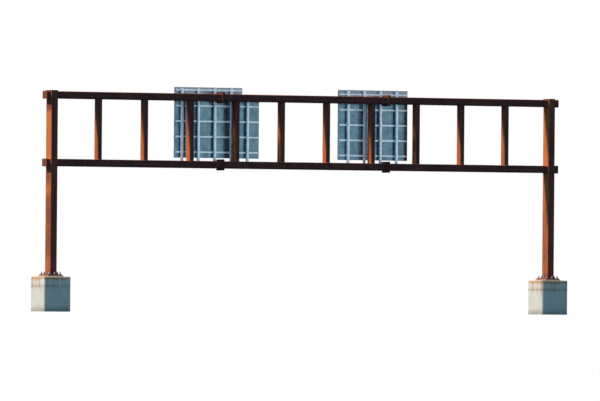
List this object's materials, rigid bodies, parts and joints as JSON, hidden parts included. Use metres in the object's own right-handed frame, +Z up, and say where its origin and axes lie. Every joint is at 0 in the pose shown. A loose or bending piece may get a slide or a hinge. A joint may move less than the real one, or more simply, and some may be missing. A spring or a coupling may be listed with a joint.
{
  "type": "overhead sign gantry",
  "caption": "Overhead road sign gantry: a flat two-chord ladder truss of weathering-steel box sections on two box posts and concrete pedestals, carrying blank green guide signs.",
  "frame": {"origin": "at ground level, midway between the two pedestals and in the middle plane of the truss", "axes": "+X along the span, +Y the way the sign faces look, +Z up"},
  "size_m": [28.35, 1.4, 10.67],
  "materials": {
    "pedestal_concrete": "matte",
    "grout": "matte",
    "weathering_steel": "matte",
    "sign_frame_aluminium": "satin",
    "sign_sheet": "satin",
    "sign_border": "satin",
    "galvanised_steel": "matte"
  },
  "bodies": {
    "root": {"pedestal_left": "pedestal_concrete", "pedestal_right": "pedestal_concrete", "grout_bed_left": "grout", "grout_bed_right": "grout", "base_plate_left": "weathering_steel", "base_plate_right": "weathering_steel", "post_left": "weathering_steel", "post_right": "weathering_steel", "post_cap_left": "weathering_steel", "post_cap_right": "weathering_steel", "top_chord_left": "weathering_steel", "top_chord_middle": "weathering_steel", "top_chord_right": "weathering_steel", "bottom_chord_left": "weathering_steel", "bottom_chord_middle": "weathering_steel", "bottom_chord_right": "weathering_steel", "chord_end_caps_left": "weathering_steel", "chord_end_caps_right": "weathering_steel", "top_flange_left": "weathering_steel", "top_flanges_middle": "weathering_steel", "top_flange_right": "weathering_steel", "bottom_flange_left": "weathering_steel", "bottom_flanges_middle": "weathering_steel", "bottom_flange_right": "weathering_steel", "upright_1": "weathering_steel", "upright_2": "weathering_steel", "upright_3": "weathering_steel", "upright_4": "weathering_steel", "upright_5": "weathering_steel", "upright_6": "weathering_steel", "upright_7": "weathering_steel", "upright_8": "weathering_steel", "upright_9": "weathering_steel", "upright_10": "weathering_steel", "hanger_seats_left": "weathering_steel", "hanger_seats_right": "weathering_steel", "hangers_left": "sign_frame_aluminium", "hangers_right": "sign_frame_aluminium", "wind_beams_left": "sign_frame_aluminium", "wind_beams_right": "sign_frame_aluminium", "sign_panel_left": "sign_sheet", "sign_tab_left": "sign_sheet", "sign_panel_right": "sign_sheet"}
  },
  "joints": []
}
